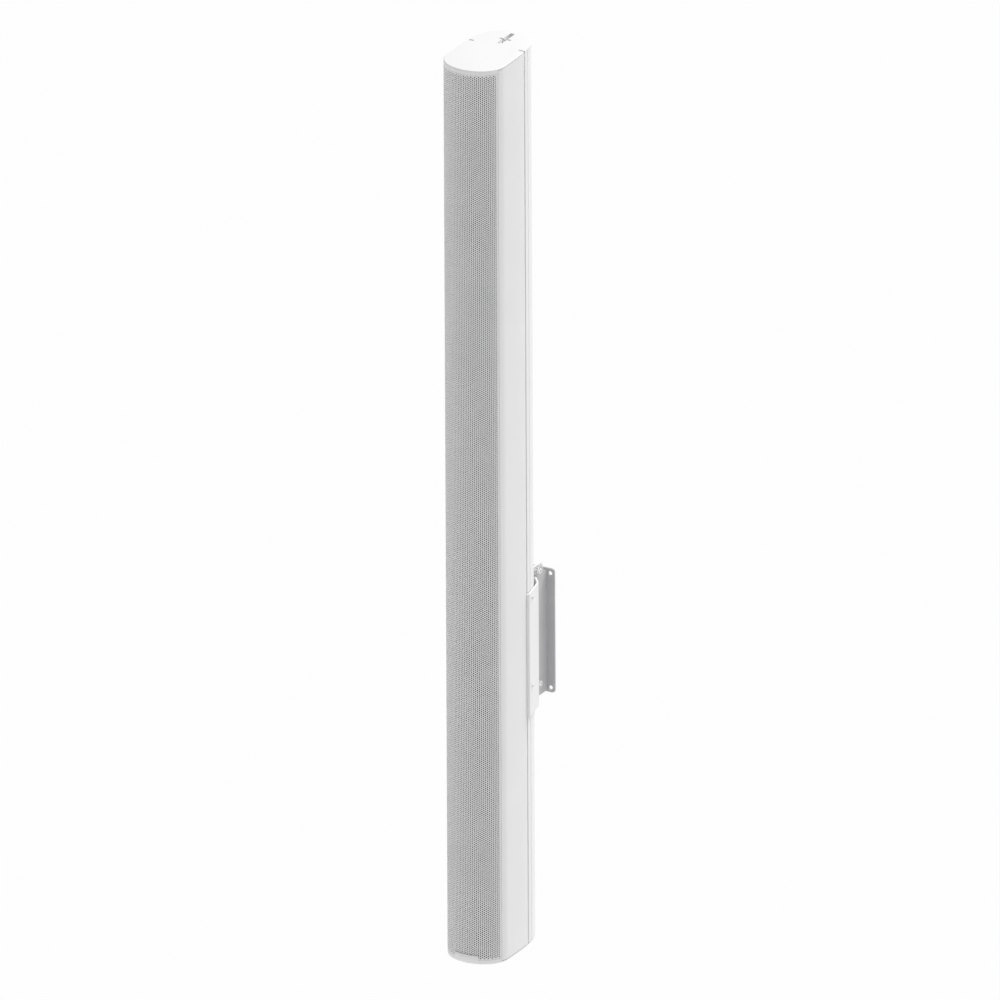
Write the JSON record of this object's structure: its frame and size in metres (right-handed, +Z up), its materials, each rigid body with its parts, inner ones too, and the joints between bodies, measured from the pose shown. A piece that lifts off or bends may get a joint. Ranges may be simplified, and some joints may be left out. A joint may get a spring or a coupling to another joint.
{
  "type": "column line array loudspeaker",
  "caption": "Tall oval column loudspeaker with a curved perforated grille, flat end caps and side grooves, held by a sliding saddle on a tilting wall bracket.",
  "frame": {"origin": "centre of the four wall screws, on the wall face of the wall plate", "axes": "+Z up along the column, +Y into the wall, the grille faces -Y"},
  "size_m": [0.0858, 0.1727, 1.211],
  "materials": {
    "white_aluminium": "satin",
    "white_coat": "satin",
    "white_plastic": "matte",
    "badge_metal": "satin",
    "grille_steel": "satin",
    "black_aluminium": "matte",
    "black_cloth": "matte",
    "seal_rubber": "matte",
    "zinc": "satin",
    "core_steel": "satin",
    "black_plastic": "satin",
    "grey_plastic": "satin",
    "wadding": "matte",
    "basket_steel": "satin",
    "magnet_ferrite": "matte",
    "cone_paper": "matte",
    "grey_coat": "satin"
  },
  "bodies": {
    "wall_mount": {"wall_channel": "grey_coat", "wall_plate": "grey_coat", "lock_bolts": "zinc", "lock_nuts": "zinc"},
    "saddle_bracket": {"saddle": "white_coat", "saddle_screws": "zinc", "pivot_bolts": "zinc", "pivot_nuts": "zinc"},
    "column": {"body_extrusion": "white_aluminium", "baffle": "black_aluminium", "grille": "grille_steel", "grille_cloth": "black_cloth", "top_cap": "white_plastic", "bottom_cap": "white_plastic", "cap_gaskets": "seal_rubber", "safety_bar": "zinc", "cap_screws": "zinc", "badge": "badge_metal", "transformer": "core_steel", "transformer_bracket": "zinc", "terminal_block": "black_plastic", "cable_gland": "grey_plastic", "damping_foam": "wadding", "driver_screws": "zinc", "driver_frame_01": "basket_steel", "driver_frame_02": "basket_steel", "driver_frame_03": "basket_steel", "driver_frame_04": "basket_steel", "driver_frame_05": "basket_steel", "driver_frame_06": "basket_steel", "driver_frame_07": "basket_steel", "driver_frame_08": "basket_steel", "driver_frame_09": "basket_steel", "driver_frame_10": "basket_steel", "driver_frame_11": "basket_steel", "driver_frame_12": "basket_steel", "driver_magnet_01": "magnet_ferrite", "driver_magnet_02": "magnet_ferrite", "driver_magnet_03": "magnet_ferrite", "driver_magnet_04": "magnet_ferrite", "driver_magnet_05": "magnet_ferrite", "driver_magnet_06": "magnet_ferrite", "driver_magnet_07": "magnet_ferrite", "driver_magnet_08": "magnet_ferrite", "driver_magnet_09": "magnet_ferrite", "driver_magnet_10": "magnet_ferrite", "driver_magnet_11": "magnet_ferrite", "driver_magnet_12": "magnet_ferrite"},
    "cone_01": {"driver_cone_01": "cone_paper"},
    "cone_02": {"driver_cone_02": "cone_paper"},
    "cone_03": {"driver_cone_03": "cone_paper"},
    "cone_04": {"driver_cone_04": "cone_paper"},
    "cone_05": {"driver_cone_05": "cone_paper"},
    "cone_06": {"driver_cone_06": "cone_paper"},
    "cone_07": {"driver_cone_07": "cone_paper"},
    "cone_08": {"driver_cone_08": "cone_paper"},
    "cone_09": {"driver_cone_09": "cone_paper"},
    "cone_10": {"driver_cone_10": "cone_paper"},
    "cone_11": {"driver_cone_11": "cone_paper"},
    "cone_12": {"driver_cone_12": "cone_paper"}
  },
  "joints": [
    {"name": "tilt", "type": "hinge", "parent": "wall_mount", "child": "saddle_bracket", "pos_m": [0, -0.025, -0.063], "axis": [1, 0, 0], "range_deg": [0, 5]},
    {"name": "bracket_slide", "type": "slide", "parent": "saddle_bracket", "child": "column", "axis": [0, 0, 1], "range_m": [-0.7, 0.28]},
    {"name": "cone_travel_01", "type": "slide", "parent": "column", "child": "cone_01", "axis": [0, -1, 0], "range_m": [-0.0015, 0.0015], "stiffness_N_per_m": 1500},
    {"name": "cone_travel_02", "type": "slide", "parent": "column", "child": "cone_02", "axis": [0, -1, 0], "range_m": [-0.0015, 0.0015], "stiffness_N_per_m": 1500},
    {"name": "cone_travel_03", "type": "slide", "parent": "column", "child": "cone_03", "axis": [0, -1, 0], "range_m": [-0.0015, 0.0015], "stiffness_N_per_m": 1500},
    {"name": "cone_travel_04", "type": "slide", "parent": "column", "child": "cone_04", "axis": [0, -1, 0], "range_m": [-0.0015, 0.0015], "stiffness_N_per_m": 1500},
    {"name": "cone_travel_05", "type": "slide", "parent": "column", "child": "cone_05", "axis": [0, -1, 0], "range_m": [-0.0015, 0.0015], "stiffness_N_per_m": 1500},
    {"name": "cone_travel_06", "type": "slide", "parent": "column", "child": "cone_06", "axis": [0, -1, 0], "range_m": [-0.0015, 0.0015], "stiffness_N_per_m": 1500},
    {"name": "cone_travel_07", "type": "slide", "parent": "column", "child": "cone_07", "axis": [0, -1, 0], "range_m": [-0.0015, 0.0015], "stiffness_N_per_m": 1500},
    {"name": "cone_travel_08", "type": "slide", "parent": "column", "child": "cone_08", "axis": [0, -1, 0], "range_m": [-0.0015, 0.0015], "stiffness_N_per_m": 1500},
    {"name": "cone_travel_09", "type": "slide", "parent": "column", "child": "cone_09", "axis": [0, -1, 0], "range_m": [-0.0015, 0.0015], "stiffness_N_per_m": 1500},
    {"name": "cone_travel_10", "type": "slide", "parent": "column", "child": "cone_10", "axis": [0, -1, 0], "range_m": [-0.0015, 0.0015], "stiffness_N_per_m": 1500},
    {"name": "cone_travel_11", "type": "slide", "parent": "column", "child": "cone_11", "axis": [0, -1, 0], "range_m": [-0.0015, 0.0015], "stiffness_N_per_m": 1500},
    {"name": "cone_travel_12", "type": "slide", "parent": "column", "child": "cone_12", "axis": [0, -1, 0], "range_m": [-0.0015, 0.0015], "stiffness_N_per_m": 1500}
  ],
  "couplings": [
    {"joint": "cone_travel_02", "follows": "cone_travel_01", "ratio": 1},
    {"joint": "cone_travel_03", "follows": "cone_travel_01", "ratio": 1},
    {"joint": "cone_travel_04", "follows": "cone_travel_01", "ratio": 1},
    {"joint": "cone_travel_05", "follows": "cone_travel_01", "ratio": 1},
    {"joint": "cone_travel_06", "follows": "cone_travel_01", "ratio": 1},
    {"joint": "cone_travel_07", "follows": "cone_travel_01", "ratio": 1},
    {"joint": "cone_travel_08", "follows": "cone_travel_01", "ratio": 1},
    {"joint": "cone_travel_09", "follows": "cone_travel_01", "ratio": 1},
    {"joint": "cone_travel_10", "follows": "cone_travel_01", "ratio": 1},
    {"joint": "cone_travel_11", "follows": "cone_travel_01", "ratio": 1},
    {"joint": "cone_travel_12", "follows": "cone_travel_01", "ratio": 1}
  ]
}
